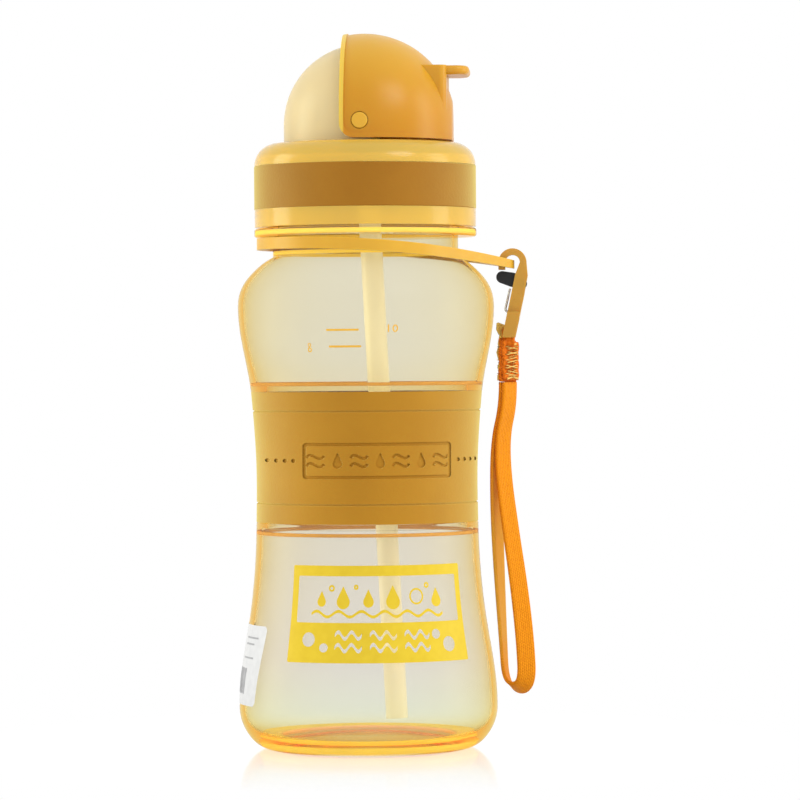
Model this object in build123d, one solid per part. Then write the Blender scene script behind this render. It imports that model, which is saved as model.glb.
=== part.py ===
from build123d import *
import os
from math import cos, radians, sin

# A child's straw bottle: a waisted bottle with a grip sleeve, a screw lid with a flip-up visor over a
# folding mouthpiece, and a wrist strap on a hook that hangs from a loop round the neck.
# Millimetres. +Z is up, the origin is the centre of the foot ring on the plane it stands on, and +X
# points to the mouthpiece, the visor's thumb tab and the strap.

# ---- bottle: heights stack upward from the foot ----
heel_h = 11.5            # foot to the widest part of the lower belly
lower_h = 50.3           # widest part to the sleeve
sleeve_h = 35.3
upper_h = 23.1           # sleeve to the widest part of the upper belly
shoulder_h = 13.4
neck_gap_h = 5.4         # bare neck that the loop turns on
flange_t = 2.3
finish_h = 17.3          # threaded neck above the flange
seal_t = 1.8
deck_t = 2.8             # lid's top wall
pivot_rise = 6.3         # deck to the visor's pins

# ---- bottle: radii ----
foot_r = 27.0
foot_ring_w = 3.5
punt_rise = 3.0
floor_t = 2.0
lower_r = 35.15
waist_r = 30.2
collar_r = 31.45         # top of the sleeve
upper_r = 34.85
neck_r = 25.2
wall = 1.7
flange_proud = 5.0

# ---- grip sleeve ----
sleeve_t = 1.5
groove_d = 0.5           # V grooves near the sleeve's two ends
groove_inset = 5.2
frame_w = 40.0           # sunk frame on the front of the sleeve
frame_h = 9.7
frame_line = 0.9
frame_turn = 10.0        # degrees round from the front, toward +X
sunk = 0.45              # depth of the frame and its pattern
drop_r = 1.25            # water drops of the pattern
ripple_w = 4.4           # pairs of ripples between the drops
ripple_line = 0.75
pattern_step = 5.6       # from one drop to the next pair of ripples

# ---- thread, right-handed ----
pitch = 4.0
thread_turns = 1.5
thread_h = 1.3
thread_base = 1.7        # axial width at the root
thread_tip = 0.9
thread_gap = 0.5         # crest to the wall opposite
thread_root_sink = 0.4   # how far a ridge is rooted in its wall

# ---- lid ----
lid_wall = 3.1
skirt_gap = 0.4          # lid above the flange
skirt_h = 4.8            # clear strip below the grip band
band_h = 11.8
band_t = 1.3
band_proud = 0.1
lid_round = 6.0
hood_r = 22.0
hood_wall = 1.8
hood_front = 3.0         # front edge of the fixed hood
vent_x = -12.0
vent_r = 1.4
seal_w = 3.6

# ---- visor ----
visor_gap = 0.7
visor_wall = 2.1
visor_back = -5.5        # back edge plane
visor_drop = 4.6         # lower edge below the pins
visor_corner_r = 4.0
visor_rim_w = 1.2
visor_rim_proud = 0.4
visor_front_x = 24.0     # flat landing at the front
nose_half_w = 11.0
nose_x = 22.7
nose_rise = 15.5         # nose's top face above the pins
tab_x = 28.7
tab_t = 2.5
tab_half_w = 9.0
pin_r = 1.5
pin_head_r = 2.2
pin_head_t = 0.9
running = 0.05           # radial clearance of a turning fit

# ---- mouthpiece, straw ----
spout_r = 4.0
spout_bore_r = 2.0
spout_len = 16.5
spout_tilt = 8.0         # degrees above level when folded
spout_lip = 0.5
spout_gap = 0.3
grommet_r = 6.4
grommet_t = 0.8
straw_r = 3.0
straw_bore_r = 2.0
straw_lean = 2.75        # degrees
straw_top_x = 0.4
straw_seat = 2.0         # straw's top below the lid's ceiling
straw_foot_gap = 3.0
socket_len = 11.0
socket_wall = 1.5

# ---- neck loop ----
loop_gap = 1.6
loop_w = 2.8
loop_h = 3.1
loop_tip_h = 2.2
hang_gap = 5.65          # loop's tip beyond the upper belly
eye_w = 2.7
eye_l = 4.4
eye_rim = 2.1
eye_round_r = 4.6

# ---- hook, gate ----
hook_t = 4.0
hook_band = 1.8
hook_arc_r = 3.8
gate_t = 1.8
gate_side_gap = 0.15
gate_pin_r = 0.7
wire_r = 0.3
crossbar_r = 0.75
crossbar_gap = 0.15      # webbing's fold to the crossbar
cheek_t = 0.9

# ---- strap ----
strap_w = 5.0
strap_t = 1.0
strap_turn = -45.0       # the loop's plane, degrees round from +X
tack_t = 3.2
tack_w = 6.1
tack_h = 10.9
tack_drop = 2.7          # crossbar's centre to the top of the sewn block
fold_t = 0.8             # webbing pulled tight round the crossbar
leg_gap = 0.2            # between the two legs where they leave the block

# ---- places worked out from the sizes above ----
sleeve_z = heel_h + lower_h
collar_z = sleeve_z + sleeve_h
upper_z = collar_z + upper_h
neck_z = upper_z + shoulder_h
flange_z = neck_z + neck_gap_h
flange_top = flange_z + flange_t
rim_z = flange_top + finish_h
ceiling_z = rim_z + seal_t
deck_z = ceiling_z + deck_t
pivot_z = deck_z + pivot_rise
flange_r = neck_r + flange_proud
lid_bore_r = neck_r + thread_h + thread_gap
lid_r = lid_bore_r + lid_wall
skirt_z = flange_top + skirt_gap
band_z = skirt_z + skirt_h
round_z = band_z + band_h + 0.2
visor_in_r = hood_r + visor_gap
visor_r = visor_in_r + visor_wall
well_r = visor_r + visor_rim_proud + 0.35
tip_x = upper_r + hang_gap
tip_z = neck_z - 2.4
eye_x = tip_x - eye_rim - eye_w / 2
hook_x = tip_x - 0.5
hook_z = tip_z + 0.6
bar_x = tip_x - 1.7
bar_z = tip_z - 18.3
gate_x = tip_x + 1.9
gate_z = tip_z - 5.2
tack_x = bar_x - 0.3
tack_top = bar_z - tack_drop
tack_foot = tack_top - tack_h


def write(shape, name):
    """Write one sub-part, named for its node."""
    shape.label = name
    export_step(shape, f"parts/{name}.step")


def turned(*edges):
    """A solid of revolution about Z from outline edges in the XZ plane."""
    return revolve(make_face(Plane.XZ * Curve(edges)), Axis.Z)


def slab(face, half):
    """A face drawn in the XZ plane, thickened evenly either side of it."""
    return extrude(Plane.XZ * face, amount=half, both=True)


# ---- bottle ----

def belly_line(inset):
    """The belly's outline from the heel to the neck, moved inward by inset."""
    drop = lower_r - waist_r
    lower = Spline(
        (lower_r - inset, heel_h),
        (waist_r + 0.465 * drop - inset, heel_h + 0.44 * lower_h),
        (waist_r - inset, sleeve_z - inset),
        tangents=[(0, 1), (-0.01, 1)],
    )
    rise = upper_r - collar_r
    upper = Spline(
        (collar_r - inset, collar_z + inset),
        (collar_r + 0.515 * rise - inset, collar_z + 0.43 * upper_h),
        (upper_r - inset, upper_z),
        tangents=[(0.12, 1), (0, 1)],
    )
    step = upper_r - neck_r
    shoulder = Spline(
        (upper_r - inset, upper_z),
        (neck_r + 0.52 * step - inset, upper_z + 0.73 * shoulder_h),
        (neck_r - inset, neck_z),
        tangents=[(0, 1), (-2.2, 1)],
    )
    return lower, upper, shoulder


def waist_line(inset, depth):
    """The belly's outline across the sleeve's seat, sunk by depth."""
    low = (waist_r - inset, sleeve_z - inset)
    high = (collar_r - inset, collar_z + inset)
    seat_low = (waist_r - inset - depth, sleeve_z - inset)
    seat_high = (waist_r - inset - depth, collar_z + inset)
    return Polyline(low, seat_low, seat_high, high)


def bottle_outside():
    lower, upper, shoulder = belly_line(0)
    foot_in = foot_r - foot_ring_w
    punt = ThreePointArc((0, punt_rise), (0.55 * foot_in, 0.72 * punt_rise), (foot_in, 0))
    foot = Line((foot_in, 0), (foot_r, 0))
    heel = Spline((foot_r, 0), (lower_r - 2.2, 0.37 * heel_h), (lower_r, heel_h), tangents=[(1, 0.2), (0, 1)])
    neck = Polyline(
        (neck_r, neck_z),
        (neck_r, flange_z),
        (flange_r, flange_z),
        (flange_r, flange_top),
        (neck_r, flange_top),
        (neck_r, rim_z),
        (0, rim_z),
        (0, punt_rise),
    )
    return turned(punt, foot, heel, lower, waist_line(0, sleeve_t), upper, shoulder, neck)


def bottle_inside():
    lower, upper, shoulder = belly_line(wall)
    floor = punt_rise + floor_t
    base = ThreePointArc((0, floor), (0.5 * foot_r, floor - 0.3), (foot_r - 1.0, floor - 1.2))
    heel = Spline((foot_r - 1.0, floor - 1.2), (lower_r - wall, heel_h), tangents=[(1, 0.15), (0, 1)])
    neck = Polyline((neck_r - wall, neck_z), (neck_r - wall, rim_z + 1), (0, rim_z + 1), (0, floor))
    return turned(base, heel, lower, waist_line(wall, sleeve_t), upper, shoulder, neck)


def thread_ridge(root_r, tip_r, start_z):
    """A helical ridge from root_r to tip_r, climbing anticlockwise as seen from above."""
    path = Helix(pitch, pitch * thread_turns, root_r)
    outward = 1 if tip_r > root_r else -1
    reach = abs(tip_r - root_r)
    section = Polygon(
        (-thread_root_sink * outward, -thread_base / 2),
        (reach * outward, -thread_tip / 2),
        (reach * outward, thread_tip / 2),
        (-thread_root_sink * outward, thread_base / 2),
        align=None,
    )
    start = Plane(origin=path @ 0, x_dir=(1, 0, 0), z_dir=path % 0)
    if start.y_dir.Z < 0:
        start = Plane(origin=path @ 0, x_dir=(1, 0, 0), z_dir=-(path % 0))
    return Pos(0, 0, start_z) * sweep(start * section, path=path, is_frenet=True)


def bottle_body():
    body = bottle_outside() - bottle_inside()
    body += thread_ridge(neck_r, neck_r + thread_h, flange_top + 4.2)
    lip = body.edges().filter_by(GeomType.CIRCLE).group_by(Axis.Z)[-1]
    body = fillet(lip, 0.5)
    rim = [e for e in body.edges().filter_by(GeomType.CIRCLE) if abs(e.radius - flange_r) < 0.01]
    return fillet(rim, 0.6)


# ---- grip sleeve and label ----

def sleeve_outside(inset):
    outer = Spline(
        (waist_r - inset, sleeve_z),
        (waist_r - 0.1 - inset, sleeve_z + 0.4 * sleeve_h),
        (collar_r - inset, collar_z),
        tangents=[(-0.02, 1), (0.09, 1)],
    )
    back = Polyline((collar_r - inset, collar_z), (0, collar_z), (0, sleeve_z), (waist_r - inset, sleeve_z))
    return turned(outer, back)


def ripples():
    """Two short ripples, one above the other, each a rise and a fall."""
    line = Spline((-ripple_w / 2, -0.3), (-ripple_w / 4, 0.45), (ripple_w / 4, -0.45), (ripple_w / 2, 0.3))
    stroke = trace(line, ripple_line)
    return Pos(0, 1.1) * stroke + Pos(0, -1.1) * stroke


def drop():
    """A water drop: a round foot and a pointed top."""
    tip = Pos(0, 2.1 * drop_r) * Circle(0.2)
    return make_hull([Circle(drop_r).edge(), tip.edge()])


def sleeve_pattern():
    """The sunk frame with drops and ripples in it, and a row of dots either side, on the XZ plane."""
    mid = sleeve_z + 0.48 * sleeve_h
    outer = RectangleRounded(frame_w, frame_h, 1.0)
    inner = RectangleRounded(frame_w - 2 * frame_line, frame_h - 2 * frame_line, 0.4)
    art = outer - inner
    for i in range(-3, 4):
        mark = ripples() if i % 2 else Pos(0, -0.6 * drop_r) * drop()
        art += Pos(i * pattern_step, 0) * mark
    for side in (-1, 1):
        for i in range(4):
            art += Pos(side * (frame_w / 2 + 2.2 + 2.0 * i), 0) * Circle(0.55)
    return Pos(0, mid) * art


def grip_sleeve():
    sleeve = sleeve_outside(0) - Cylinder(waist_r - sleeve_t, collar_z, align=(Align.CENTER, Align.CENTER, Align.MIN))
    for z in (sleeve_z + groove_inset, collar_z - groove_inset):
        share = (z - sleeve_z) / sleeve_h
        surface_r = waist_r + (collar_r - waist_r) * max(0.0, 1.5 * share - 0.56)
        notch = Polyline(
            (surface_r - groove_d, z),
            (surface_r + 2, z - 2),
            (surface_r + 2, z + 2),
            (surface_r - groove_d, z),
        )
        sleeve -= turned(notch)
    skin = sleeve - sleeve_outside(sunk)
    stamp = extrude(Plane.XZ * sleeve_pattern(), amount=2 * waist_r)
    stamp = Rot(0, 0, frame_turn) * stamp
    return sleeve - (skin & stamp)


def retail_sticker():
    """A paper label on the lower belly, one thin patch of its surface."""
    paper = 0.12
    lower, _, _ = belly_line(-paper)
    top = sleeve_z + paper
    close = Polyline((waist_r + paper, top), (0, top), (0, heel_h), (lower_r + paper, heel_h))
    patch = turned(lower, close) - bottle_outside()
    window = Rot(0, 0, 195) * Box(2 * lower_r, 27.0, 20.0, align=(Align.MIN, Align.CENTER, Align.MIN))
    return patch & (Pos(0, 0, heel_h + 1.8) * window)


# ---- lid ----

def seal_ring():
    outer = lid_bore_r - 0.4
    ring = Cylinder(outer, seal_t) - Cylinder(outer - seal_w, seal_t)
    return Pos(0, 0, rim_z + seal_t / 2) * ring


def lid_shell():
    arc_x = lid_r - lid_round
    top_rise = (lid_round**2 - (well_r - arc_x) ** 2) ** 0.5
    slope = lid_round * sin(radians(45))
    shoulder = ThreePointArc(
        (lid_r, round_z), (arc_x + slope, round_z + slope), (well_r, round_z + top_rise)
    )
    inside = Polyline(
        (well_r, round_z + top_rise),
        (well_r, deck_z),
        (0, deck_z),
        (0, ceiling_z),
        (lid_bore_r, ceiling_z),
        (lid_bore_r, skirt_z),
        (lid_r, skirt_z),
    )
    seat_r = lid_r + band_proud - band_t
    outside = Polyline(
        (lid_r, skirt_z),
        (lid_r, band_z),
        (seat_r, band_z),
        (seat_r, band_z + band_h),
        (lid_r, band_z + band_h),
        (lid_r, round_z),
    )
    shell = turned(shoulder, inside, outside)
    shell += hood()
    shell += thread_ridge(lid_bore_r, lid_bore_r - thread_h, flange_top + 4.2 - pitch / 2)
    shell -= Pos(straw_top_x, 0, deck_z) * Cylinder(spout_bore_r, 4 * deck_t)
    shell -= Pos(vent_x, 0, deck_z) * Cylinder(vent_r, 4 * deck_t)
    return shell


def dome(radius, foot_z):
    """A ball on the pins' level with straight sides down to foot_z."""
    ball = Pos(0, 0, pivot_z) * Sphere(radius)
    sides = Pos(0, 0, foot_z) * Cylinder(radius, pivot_z - foot_z, align=(Align.CENTER, Align.CENTER, Align.MIN))
    over = Pos(0, 0, foot_z) * Box(3 * radius, 3 * radius, 3 * radius, align=(Align.CENTER, Align.CENTER, Align.MIN))
    return (ball + sides) & over


def hood():
    """The fixed back half of the dome, with bores for the visor's pins."""
    shell = dome(hood_r, deck_z - 0.5) - dome(hood_r - hood_wall, deck_z - 1)
    front = Pos(hood_front, 0, pivot_z) * Box(80, 80, 80, align=(Align.MAX, Align.CENTER, Align.CENTER))
    bores = Pos(0, 0, pivot_z) * Rot(90, 0, 0) * Cylinder(pin_r, 3 * hood_r)
    return (shell & front) - bores


def lid_grip_band():
    outer = lid_r + band_proud
    ring = Cylinder(outer, band_h) - Cylinder(outer - band_t, band_h)
    ring = fillet([e for e in ring.edges() if e.geom_type == GeomType.CIRCLE and e.radius > outer - 0.01], 0.25)
    return Pos(0, 0, band_z + band_h / 2) * ring


def visor_pins():
    """Two identical pins, one each side, pressed into the hood."""
    floor_y = visor_r - pin_head_t
    shaft_y = hood_r - hood_wall
    shaft = Cylinder(pin_r, floor_y - shaft_y, align=(Align.CENTER, Align.CENTER, Align.MIN))
    head = Cylinder(pin_head_r, pin_head_t, align=(Align.CENTER, Align.CENTER, Align.MIN))
    head = fillet(head.faces().sort_by(Axis.Z)[-1].edges(), 0.4)
    pin = Pos(0, 0, shaft_y) * shaft + Pos(0, 0, floor_y + running) * head
    pin += Pos(0, 0, floor_y - 0.1) * Cylinder(pin_r, 0.3, align=(Align.CENTER, Align.CENTER, Align.MIN))
    pins = [Pos(0, 0, pivot_z) * Rot(side * 90, 0, 0) * pin for side in (-1, 1)]
    return Compound(children=pins)


def visor():
    outline = Rectangle(40, 40, align=(Align.MIN, Align.MIN))
    outline = fillet(outline.vertices().sort_by(Axis.X)[0:2].sort_by(Axis.Y)[0], visor_corner_r)
    outline = Pos(visor_back, pivot_z - visor_drop) * outline
    inset = visor_corner_r - visor_rim_w
    inner = Rectangle(40, 40, align=(Align.MIN, Align.MIN))
    inner = fillet(inner.vertices().sort_by(Axis.X)[0:2].sort_by(Axis.Y)[0], inset)
    inner = Pos(visor_back + visor_rim_w, pivot_z - visor_drop + visor_rim_w) * inner
    foot = pivot_z - visor_drop - 2
    keep = slab(outline, 40)
    shell = dome(visor_r, foot) & keep
    rim = dome(visor_r + visor_rim_proud, foot) & slab(outline - inner, 40)
    nose = Box(nose_x, 2 * nose_half_w, nose_rise, align=(Align.MIN, Align.CENTER, Align.MIN))
    nose = fillet(nose.edges().filter_by(Axis.Z).sort_by(Axis.X)[-2:], 2.0)
    tab = Box(tab_x, 2 * tab_half_w, tab_t, align=(Align.MIN, Align.CENTER, Align.MAX))
    tab = fillet(tab.edges().filter_by(Axis.Z).sort_by(Axis.X)[-2:], 4.0)
    tab = fillet(tab.faces().sort_by(Axis.X)[-1].edges().filter_by(Axis.Y), 1.1)
    front = Pos(visor_front_x, 0, pivot_z) * Box(80, 80, 80, align=(Align.MAX, Align.CENTER, Align.CENTER))
    body = (shell + rim) & front
    body += Pos(0, 0, pivot_z) * nose
    body += Pos(0, 0, pivot_z + nose_rise) * tab
    body -= dome(visor_in_r, foot - 1)
    bore_r = pin_r + running
    body -= Pos(0, 0, pivot_z) * Rot(90, 0, 0) * Cylinder(bore_r, 3 * visor_r)
    for side in (-1, 1):
        seat = Cylinder(pin_head_r + 0.15, 4, align=(Align.CENTER, Align.CENTER, Align.MIN))
        body -= Pos(0, 0, pivot_z) * Rot(side * 90, 0, 0) * Pos(0, 0, visor_r - pin_head_t) * seat
    return body


def vent_valve():
    """A silicone button valve in the deck, with a head above it and a wider foot below."""
    head = Pos(0, 0, deck_z) * Cylinder(vent_r + 1.1, 0.9, align=(Align.CENTER, Align.CENTER, Align.MIN))
    head = fillet(head.faces().sort_by(Axis.Z)[-1].edges(), 0.35)
    stem = Pos(0, 0, ceiling_z) * Cylinder(vent_r, deck_t, align=(Align.CENTER, Align.CENTER, Align.MIN))
    foot = Pos(0, 0, ceiling_z) * Cylinder(vent_r + 0.9, 0.8, align=(Align.CENTER, Align.CENTER, Align.MAX))
    valve = head + stem + foot
    slit = Box(1.6, 0.2, 3 * deck_t)
    return Pos(vent_x, 0, 0) * (valve - Pos(0, 0, deck_z) * slit)


# ---- mouthpiece and straw ----

def spout_base():
    """The silicone foot of the mouthpiece, standing on the deck."""
    top = pivot_z - spout_r - spout_gap
    flange = Cylinder(grommet_r, grommet_t, align=(Align.CENTER, Align.CENTER, Align.MIN))
    neck = Cylinder(spout_r + 0.2, top - deck_z, align=(Align.CENTER, Align.CENTER, Align.MIN))
    bore = Cylinder(spout_bore_r, 4 * deck_t)
    return Pos(straw_top_x, 0, deck_z) * (flange + neck - bore)


def spout_tube():
    """The mouthpiece that folds down toward +X, with a round knuckle at its hinge."""
    tube = Cylinder(spout_r, spout_len, align=(Align.CENTER, Align.CENTER, Align.MIN))
    lip = Pos(0, 0, spout_len - 1.6) * Cylinder(
        spout_r + spout_lip, 1.6, align=(Align.CENTER, Align.CENTER, Align.MIN)
    )
    lip = fillet(lip.edges().filter_by(GeomType.CIRCLE), 0.45)
    bore = Cylinder(spout_bore_r, 3 * spout_len, align=(Align.CENTER, Align.CENTER, Align.MIN))
    aim = Rot(0, 90 - spout_tilt, 0)
    body = Sphere(spout_r) + aim * (tube + lip)
    body -= aim * bore
    body -= Cylinder(spout_bore_r, 2 * spout_r, align=(Align.CENTER, Align.CENTER, Align.MAX))
    return Pos(straw_top_x, 0, pivot_z) * body


def straw_line():
    """The straw's own frame: Z up its length, its origin where it meets the ceiling."""
    return Pos(straw_top_x, 0, ceiling_z) * Rot(0, -straw_lean, 0)


def straw_socket():
    """The tube under the deck that the straw pushes into."""
    reach = socket_len + 3
    tube = Cylinder(straw_r + socket_wall, reach, align=(Align.CENTER, Align.CENTER, Align.MAX))
    flange = Pos(straw_top_x, 0, ceiling_z) * Cylinder(
        straw_r + 3, 1.0, align=(Align.CENTER, Align.CENTER, Align.MAX)
    )
    body = straw_line() * Pos(0, 0, 3) * tube + flange
    below = Pos(0, 0, ceiling_z) * Box(80, 80, 80, align=(Align.CENTER, Align.CENTER, Align.MAX))
    body &= below
    bore = Cylinder(straw_r, reach, align=(Align.CENTER, Align.CENTER, Align.MAX))
    body -= straw_line() * Pos(0, 0, -straw_seat) * bore
    return body - straw_line() * Cylinder(spout_bore_r - 0.2, 4 * straw_seat)


def straw():
    foot_z = punt_rise + floor_t + straw_foot_gap
    length = (ceiling_z - foot_z) / cos(radians(straw_lean)) - straw_seat
    tube = Cylinder(straw_r, length, align=(Align.CENTER, Align.CENTER, Align.MAX))
    tube -= Cylinder(straw_bore_r, length, align=(Align.CENTER, Align.CENTER, Align.MAX))
    return straw_line() * Pos(0, 0, -straw_seat) * tube


# ---- neck loop ----

def loop_side():
    """The loop seen from the side: a band that droops toward its tip."""
    back_x = -(neck_r + loop_gap + loop_w + 2)
    stations = [(back_x, 3.6), (0, 2.8), (0.4 * tip_x, 1.5), (tip_x + 1, -2.6)]
    halves = [loop_h / 2, loop_h / 2, loop_h / 2 - 0.05, loop_tip_h / 2]
    over = Spline(*[(x, neck_z + z + h) for (x, z), h in zip(stations, halves)])
    under = Spline(*[(x, neck_z + z - h) for (x, z), h in zip(stations, halves)])
    return make_face(Curve([over, Line(over @ 1, under @ 1), under, Line(under @ 0, over @ 0)]))


def loop_plan():
    """The loop seen from above: a ring, two tapering sides and an eye at the tip."""
    inner_r = neck_r + loop_gap
    eye_end = tip_x - eye_round_r
    hole_end = eye_x - eye_w / 2 - 3.1 - 1.5
    outer = make_hull([Circle(inner_r + loop_w).edge(), (Pos(eye_end, 0) * Circle(eye_round_r)).edge()])
    hole = make_hull([Circle(inner_r).edge(), (Pos(hole_end, 0) * Circle(1.5)).edge()])
    eye = Pos(eye_x, 0) * RectangleRounded(eye_w, eye_l, 0.8)
    return outer - hole - eye


def neck_loop():
    prism = Pos(0, 0, neck_z - 20) * extrude(loop_plan(), amount=40)
    return prism & slab(loop_side(), 3 * neck_r)


# ---- hook and gate ----

def hook_side():
    """The hook seen from the side, from the squared foot to the arc and its tip."""
    arc = Pos(hook_x, hook_z) * (Circle(hook_arc_r) - Circle(hook_arc_r - hook_band))
    arc -= Pos(hook_x, hook_z) * Rectangle(20, 20, align=(Align.CENTER, Align.MAX))
    tip = Pos(hook_x - hook_arc_r, hook_z) * Rectangle(hook_band, 2.0, align=(Align.MIN, Align.MAX))
    shank = Polygon(
        (hook_x + hook_arc_r - hook_band, hook_z),
        (tip_x + 0.2, tip_z - 2.8),
        (bar_x - 1.7, bar_z - 1.5),
        (bar_x + 1.8, bar_z - 1.5),
        (tip_x + 2.4, tip_z - 9.4),
        (tip_x + 3.6, tip_z - 3.0),
        (hook_x + hook_arc_r, hook_z),
        align=None,
    )
    return arc + tip + shank


def gate_side():
    """The gate seen from the side: a thumb pad that narrows to a round end under the hook's tip."""
    rounds = [(gate_x, gate_z, 1.5), (tip_x - 0.6, tip_z - 4.1, 1.95), (tip_x - 3.3, tip_z - 3.4, 1.65)]
    return make_hull([(Pos(x, z) * Circle(r)).edge() for x, z, r in rounds])


def hook_body():
    side = hook_side()
    body = slab(side, hook_t / 2)
    foot_half = strap_w / 2 + 0.4 + cheek_t
    below = Pos(0, bar_z - 10) * Rectangle(200, 15.5, align=(Align.CENTER, Align.MIN))
    body += slab(side & below, foot_half)
    room = Pos(0, bar_z - 10) * Rectangle(200, 13.7, align=(Align.CENTER, Align.MIN))
    body -= slab(room, foot_half - cheek_t)
    body += Pos(bar_x, 0, bar_z) * Rot(90, 0, 0) * Cylinder(crossbar_r, 2 * foot_half)
    slot = Pos(0, tip_z - 9.0) * Rectangle(200, 7.5, align=(Align.CENTER, Align.MIN))
    body -= slab(slot, gate_t / 2 + gate_side_gap)
    body -= Pos(gate_x, 0, gate_z) * Rot(90, 0, 0) * Cylinder(gate_pin_r, 4 * hook_t)
    return body - gate_spring()


def gate_lever():
    lever = slab(gate_side(), gate_t / 2)
    return lever - Pos(gate_x, 0, gate_z) * Rot(90, 0, 0) * Cylinder(gate_pin_r + running, 4 * hook_t)


def gate_pin():
    """A plain pin, flush with the hook's two sides."""
    return Pos(gate_x, 0, gate_z) * Rot(90, 0, 0) * Cylinder(gate_pin_r, hook_t)


def gate_spring():
    """A bent spring wire, rooted in the shank and rising to just under the gate."""
    root = (bar_x + 0.3, bar_z + 5.0)
    knee = (bar_x - 0.9, bar_z + 6.0)
    tip = (tip_x - 1.2, tip_z - 6.5)
    path = Plane.XZ * FilletPolyline(root, knee, tip, radius=0.7)
    return sweep(Plane(origin=path @ 0, z_dir=path % 0) * Circle(wire_r), path=path)


# ---- strap ----

def strap_plane():
    """The vertical plane of the wrist loop: X across it, Y up."""
    across = Vector(cos(radians(strap_turn)), sin(radians(strap_turn)), 0)
    return Plane(origin=(tack_x, 0, 0), x_dir=across, z_dir=across.cross(Vector(0, 0, 1)))


def strap_tack():
    """The sewn block, with the fold of webbing that wraps the hook's crossbar."""
    block = strap_plane() * Pos(0, tack_foot) * Rectangle(tack_t, tack_h, align=(Align.CENTER, Align.MIN))
    body = extrude(block, amount=tack_w / 2, both=True)
    body = fillet(body.edges().filter_by(Axis.Z), 0.6)
    hole_r = crossbar_r + crossbar_gap
    wrap_r = hole_r + fold_t
    bar = Pos(bar_x, 0, bar_z)
    wrap = bar * Rot(90, 0, 0) * Cylinder(wrap_r, strap_w)
    tail = bar * Box(2 * wrap_r, strap_w, tack_drop + 2, align=(Align.CENTER, Align.CENTER, Align.MAX))
    body += wrap + tail
    return body - bar * Rot(90, 0, 0) * Cylinder(hole_r, 2 * strap_w)


# The webbing's route below the sewn block, as (across, below the block).
leg = (strap_t + leg_gap) / 2
strap_route = [
    (-leg, 0),
    (-leg, 6),
    (-4.4, 16.5),
    (-4.8, 35.5),
    (-3.8, 53.5),
    (-2.6, 69.5),
    (-1.6, 83.0),
    (6.9, 83.0),
    (6.2, 70.5),
    (3.9, 55.5),
    (0.8, 40.5),
    (-2.0, 25.5),
    (-2.3, 14.5),
    (leg, 6),
    (leg, 0),
]


def fold_radii(points):
    """The largest arc at each corner that uses 0.45 of the shorter run beside it."""
    radii = []
    for before, here, after in zip(points, points[1:], points[2:]):
        run_in = Vector(*here) - Vector(*before)
        run_out = Vector(*after) - Vector(*here)
        half_turn = radians(run_in.get_angle(run_out)) / 2
        radii.append(0.45 * min(run_in.length, run_out.length) * cos(half_turn) / sin(half_turn))
    return radii


def strap_loop():
    points = [(across, tack_foot - below) for across, below in strap_route]
    radii = fold_radii(points)
    path = FilletPolyline(*points, radius=radii)
    print("strap length", round(path.length, 1), "radii", [round(r, 1) for r in radii])
    ribbon = extrude(strap_plane() * trace(path, strap_t), amount=strap_w / 2, both=True)
    print("strap volume", round(ribbon.volume, 1), "wanted", round(path.length * strap_w * strap_t, 1))
    return ribbon


makers = [
    bottle_body,
    grip_sleeve,
    retail_sticker,
    seal_ring,
    lid_shell,
    lid_grip_band,
    visor_pins,
    visor,
    vent_valve,
    spout_base,
    spout_tube,
    straw_socket,
    straw,
    neck_loop,
    hook_body,
    gate_lever,
    gate_pin,
    gate_spring,
    strap_tack,
    strap_loop,
]
os.makedirs("parts", exist_ok=True)
for maker in makers:
    write(maker(), maker.__name__)
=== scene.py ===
from math import atan2, cos, pi, radians, sin

import bmesh
import bpy
from mathutils import Matrix, Vector
from mathutils.bvhtree import BVHTree


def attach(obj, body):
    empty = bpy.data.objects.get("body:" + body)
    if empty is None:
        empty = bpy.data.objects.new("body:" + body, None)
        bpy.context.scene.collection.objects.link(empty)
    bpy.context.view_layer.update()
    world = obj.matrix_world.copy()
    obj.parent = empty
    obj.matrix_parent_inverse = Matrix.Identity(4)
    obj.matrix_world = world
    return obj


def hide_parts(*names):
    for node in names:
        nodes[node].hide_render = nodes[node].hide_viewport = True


# A child's straw bottle in amber plastic: everything is in metres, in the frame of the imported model,
# with +X to the mouthpiece and the strap, and the front of the bottle facing -Y.

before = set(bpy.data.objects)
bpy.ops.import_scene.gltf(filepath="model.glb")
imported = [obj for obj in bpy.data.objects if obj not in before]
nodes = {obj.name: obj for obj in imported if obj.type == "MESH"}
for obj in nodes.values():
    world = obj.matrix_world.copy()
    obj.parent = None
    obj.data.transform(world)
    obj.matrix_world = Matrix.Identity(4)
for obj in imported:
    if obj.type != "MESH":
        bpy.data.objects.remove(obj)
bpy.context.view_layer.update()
mm = 0.001

# ---- camera ----

def place_camera():
    """A long lens a little above the shoulder, turned a few degrees toward the strap."""
    camera = bpy.data.objects.new("camera", bpy.data.cameras.new("camera"))
    bpy.context.scene.collection.objects.link(camera)
    camera.data.lens = 189
    camera.data.sensor_width = 36
    camera.data.clip_end = 20
    distance = 1.144
    aim_x = 0.0091
    aim_z = 0.0946
    eye_z = 0.105
    turn = radians(2.8)
    roll = radians(-0.4)
    pitch = atan2(eye_z - aim_z, distance)
    stand = Matrix.Rotation(turn, 4, "Z") @ Matrix.Translation((aim_x, -distance, eye_z))
    camera.matrix_world = stand @ Matrix.Rotation(pi / 2 - pitch, 4, "X") @ Matrix.Rotation(roll, 4, "Z")
    bpy.context.scene.camera = camera


# ---- materials ----

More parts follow.
